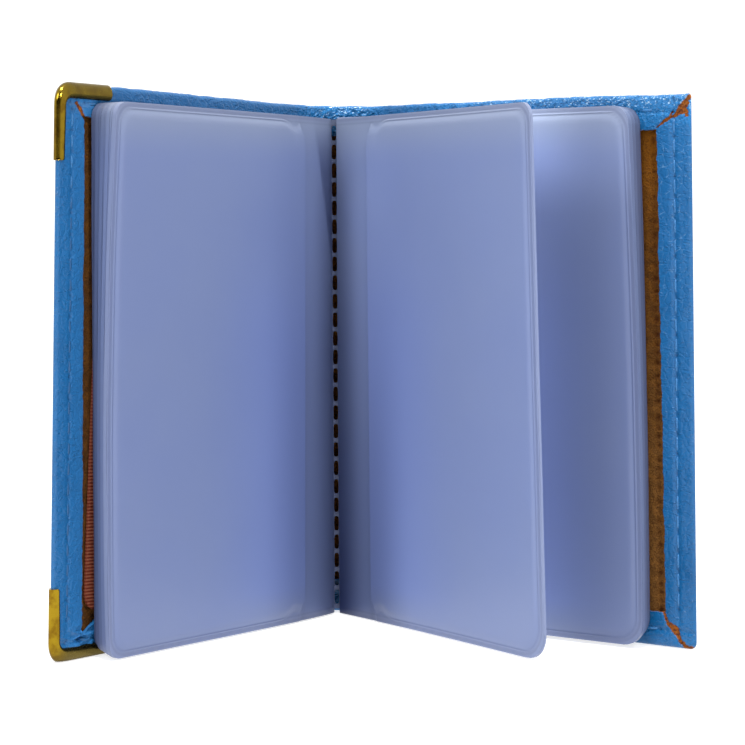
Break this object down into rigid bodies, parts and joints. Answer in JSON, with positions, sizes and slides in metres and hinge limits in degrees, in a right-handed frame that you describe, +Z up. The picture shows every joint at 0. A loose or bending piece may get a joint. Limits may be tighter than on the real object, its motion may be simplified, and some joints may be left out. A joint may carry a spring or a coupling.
{
  "type": "document case",
  "caption": "Small blue leather document case standing open like a book, with hemmed edges, brown suede lining, brass corners and clear pocket leaves on a slotted centre weld.",
  "frame": {"origin": "middle of the bounding box at the surface that the case stands on", "axes": "+Z up, +Y towards the spine, +X to the reader's right, across the open case"},
  "size_m": [0.126, 0.0684, 0.11],
  "materials": {
    "blue_leather": "grained leather with soft gloss",
    "brown_suede": "raw suede, matt",
    "brass": "worn polished brass",
    "clear_film": "milky soft plastic film",
    "red_card": "fine ribbed card"
  },
  "bodies": {
    "root": {"cover": "blue_leather", "lining": "brown_suede", "corner_top": "brass", "corner_bottom": "brass", "weld_strip": "clear_film", "leaf_left_1": "clear_film", "leaf_left_2": "clear_film", "leaf_left_3": "clear_film", "leaf_left_4": "clear_film", "leaf_left_5": "clear_film", "leaf_right_1": "clear_film", "leaf_right_2": "clear_film", "leaf_right_3": "clear_film", "leaf_right_4": "clear_film", "leaf_raised": "clear_film", "pocket_left_1": "clear_film", "pocket_left_2": "clear_film", "pocket_left_3": "clear_film", "pocket_left_4": "clear_film", "pocket_left_5": "clear_film", "pocket_right_1": "clear_film", "pocket_right_2": "clear_film", "pocket_right_3": "clear_film", "pocket_right_4": "clear_film", "pocket_raised": "clear_film", "ribbed_card": "red_card"}
  },
  "joints": []
}
